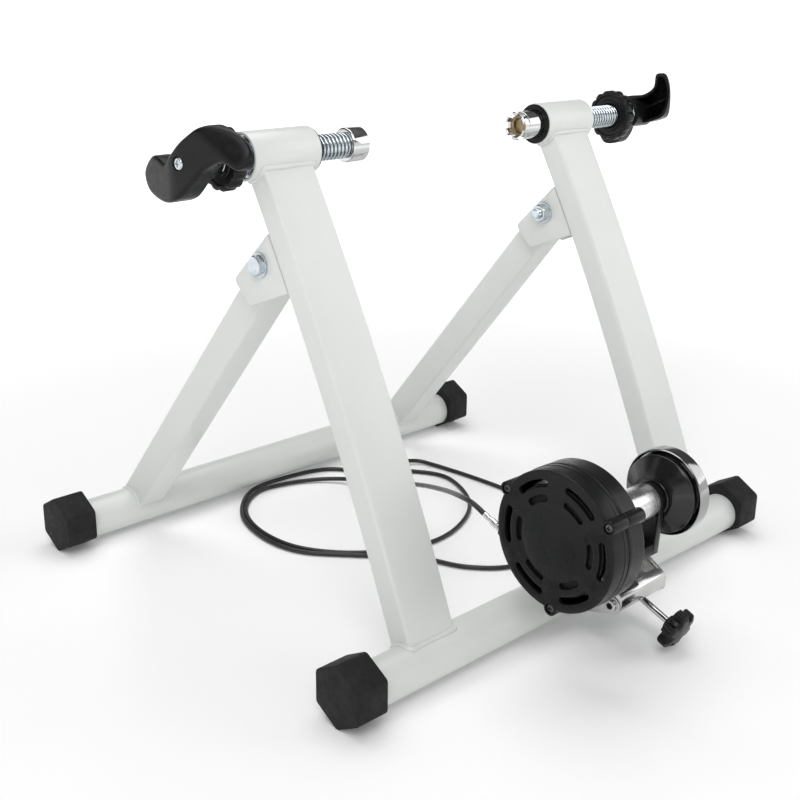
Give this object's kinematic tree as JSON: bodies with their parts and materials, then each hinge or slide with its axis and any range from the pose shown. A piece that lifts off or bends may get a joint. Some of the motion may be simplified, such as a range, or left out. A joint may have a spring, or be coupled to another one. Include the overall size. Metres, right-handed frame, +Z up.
{
  "type": "bicycle turbo trainer stand",
  "caption": "Folding indoor bicycle trainer stand: two uprights with screw-in axle cups, a magnetic roller unit with flywheel on a swing mount, and a loose brake cable.",
  "frame": {"origin": "on the floor, under the middle of the stand's own bounding box, without the loose cable", "axes": "+X along the two base tubes, from the brake housing towards the flywheel; +Y from the roller side towards the folding brace; +Z up"},
  "size_m": [0.6028, 0.5612, 0.4455],
  "materials": {
    "white_paint": "satin powder coat",
    "cap_rubber": "matte",
    "black_plastic": "satin",
    "zinc": "zinc plated",
    "chrome": "polished",
    "steel": "bright turned",
    "alloy": "turned",
    "magnet_grey": "matte",
    "cable_sheath": "smooth"
  },
  "bodies": {
    "base": {"roller_base_tube": "white_paint", "roller_cap_left": "cap_rubber", "roller_cap_right": "cap_rubber", "left_upright": "white_paint", "right_upright": "white_paint", "left_sleeve": "white_paint", "right_sleeve": "white_paint", "left_sleeve_bush": "black_plastic", "right_sleeve_bush": "black_plastic", "left_sleeve_nut": "zinc", "right_sleeve_nut": "zinc", "left_hinge_bracket": "white_paint", "right_hinge_bracket": "white_paint", "left_pivot_bolt": "zinc", "right_pivot_bolt": "zinc", "left_pivot_nut": "zinc", "right_pivot_nut": "zinc", "mount_lug": "white_paint", "swing_pin": "zinc", "swing_pin_nut": "zinc", "brake_cable": "cable_sheath", "remote_body": "black_plastic"},
    "brace": {"brace_base_tube": "white_paint", "brace_cap_left": "cap_rubber", "brace_cap_right": "cap_rubber", "left_leg": "white_paint", "right_leg": "white_paint"},
    "left_cup": {"left_cup": "chrome"},
    "left_spindle": {"left_spindle": "zinc", "left_lever": "black_plastic", "left_lever_screw": "zinc"},
    "left_knob": {"left_lock_knob": "black_plastic"},
    "right_cup": {"right_cup": "chrome"},
    "right_spindle": {"right_spindle": "zinc", "right_lever": "black_plastic", "right_lever_screw": "zinc"},
    "right_knob": {"right_lock_knob": "black_plastic"},
    "swing": {"swing_frame": "zinc", "rod_block": "zinc", "block_screw_left": "zinc", "block_screw_right": "zinc", "roller_bracket": "black_plastic", "left_bearing": "steel", "right_bearing": "steel", "outer_shell": "black_plastic", "inner_shell": "black_plastic", "housing_screw_1": "zinc", "housing_screw_2": "zinc", "housing_screw_3": "zinc", "fixed_magnets": "magnet_grey", "cable_ferrule": "steel"},
    "spin": {"roller_shaft": "steel", "roller": "steel", "flywheel_hub": "black_plastic", "flywheel_ring": "chrome", "rotor_disc": "alloy"},
    "magnet_carrier": {"magnet_carrier": "magnet_grey"},
    "adjusting_rod": {"adjusting_rod": "zinc"},
    "adjusting_knob": {"adjusting_knob": "black_plastic"},
    "remote_lever": {"remote_lever": "black_plastic"}
  },
  "joints": [
    {"name": "brace_fold", "type": "hinge", "parent": "base", "child": "brace", "pos_m": [-0.02392, 0.0184, 0.31682], "axis": [1, 0, 0], "range_deg": [-60, 0], "deforming": ["brake_cable"]},
    {"name": "left_cup_slide", "type": "slide", "parent": "base", "child": "left_cup", "axis": [-1, 0, 0], "range_m": [-0.0101, 0.0361]},
    {"name": "left_lever_turn", "type": "hinge", "parent": "left_cup", "child": "left_spindle", "pos_m": [-0.22393, 0.0277, 0.403], "axis": [-1, 0, 0], "range_deg": [-900, 3240]},
    {"name": "left_knob_turn", "type": "hinge", "parent": "left_spindle", "child": "left_knob", "pos_m": [-0.23992, 0.0277, 0.403], "axis": [-1, 0, 0], "continuous": true},
    {"name": "right_cup_slide", "type": "slide", "parent": "base", "child": "right_cup", "axis": [1, 0, 0], "range_m": [-0.0241, 0.0321]},
    {"name": "right_lever_turn", "type": "hinge", "parent": "right_cup", "child": "right_spindle", "pos_m": [0.17608, 0.0277, 0.403], "axis": [1, 0, 0], "range_deg": [-2160, 2880]},
    {"name": "right_knob_turn", "type": "hinge", "parent": "right_spindle", "child": "right_knob", "pos_m": [0.24008, 0.0277, 0.403], "axis": [1, 0, 0], "continuous": true},
    {"name": "roller_swing", "type": "hinge", "parent": "base", "child": "swing", "pos_m": [-0.01192, -0.1886, 0.066], "axis": [1, 0, 0], "range_deg": [-8, 0], "deforming": ["brake_cable"]},
    {"name": "rod_slide", "type": "slide", "parent": "swing", "child": "adjusting_rod", "axis": [0, 0.9336, 0.3584], "range_m": [0, 0.002]},
    {"name": "knob_turn", "type": "hinge", "parent": "adjusting_rod", "child": "adjusting_knob", "pos_m": [-0.01192, -0.2546, 0.02595], "axis": [0, 0.9336, 0.3584], "range_deg": [0, 465]},
    {"name": "roller_spin", "type": "hinge", "parent": "swing", "child": "spin", "pos_m": [-0.02392, -0.2226, 0.126], "axis": [1, 0, 0], "continuous": true},
    {"name": "carrier_turn", "type": "hinge", "parent": "swing", "child": "magnet_carrier", "pos_m": [-0.12392, -0.2226, 0.126], "axis": [1, 0, 0], "range_deg": [0, 30]},
    {"name": "remote_lever_turn", "type": "hinge", "parent": "base", "child": "remote_lever", "pos_m": [0.0581, 0.1494, 0.018], "axis": [0, 0, 1], "range_deg": [0, 60]}
  ],
  "couplings": [
    {"joint": "left_cup_slide", "follows": "left_lever_turn", "m_per_rad": 0.00063662},
    {"joint": "right_cup_slide", "follows": "right_lever_turn", "m_per_rad": 0.00063662},
    {"joint": "rod_slide", "follows": "roller_swing", "m_per_rad": -0.0125},
    {"joint": "knob_turn", "follows": "roller_swing", "ratio": -52.36},
    {"joint": "carrier_turn", "follows": "remote_lever_turn", "ratio": 0.5}
  ]
}
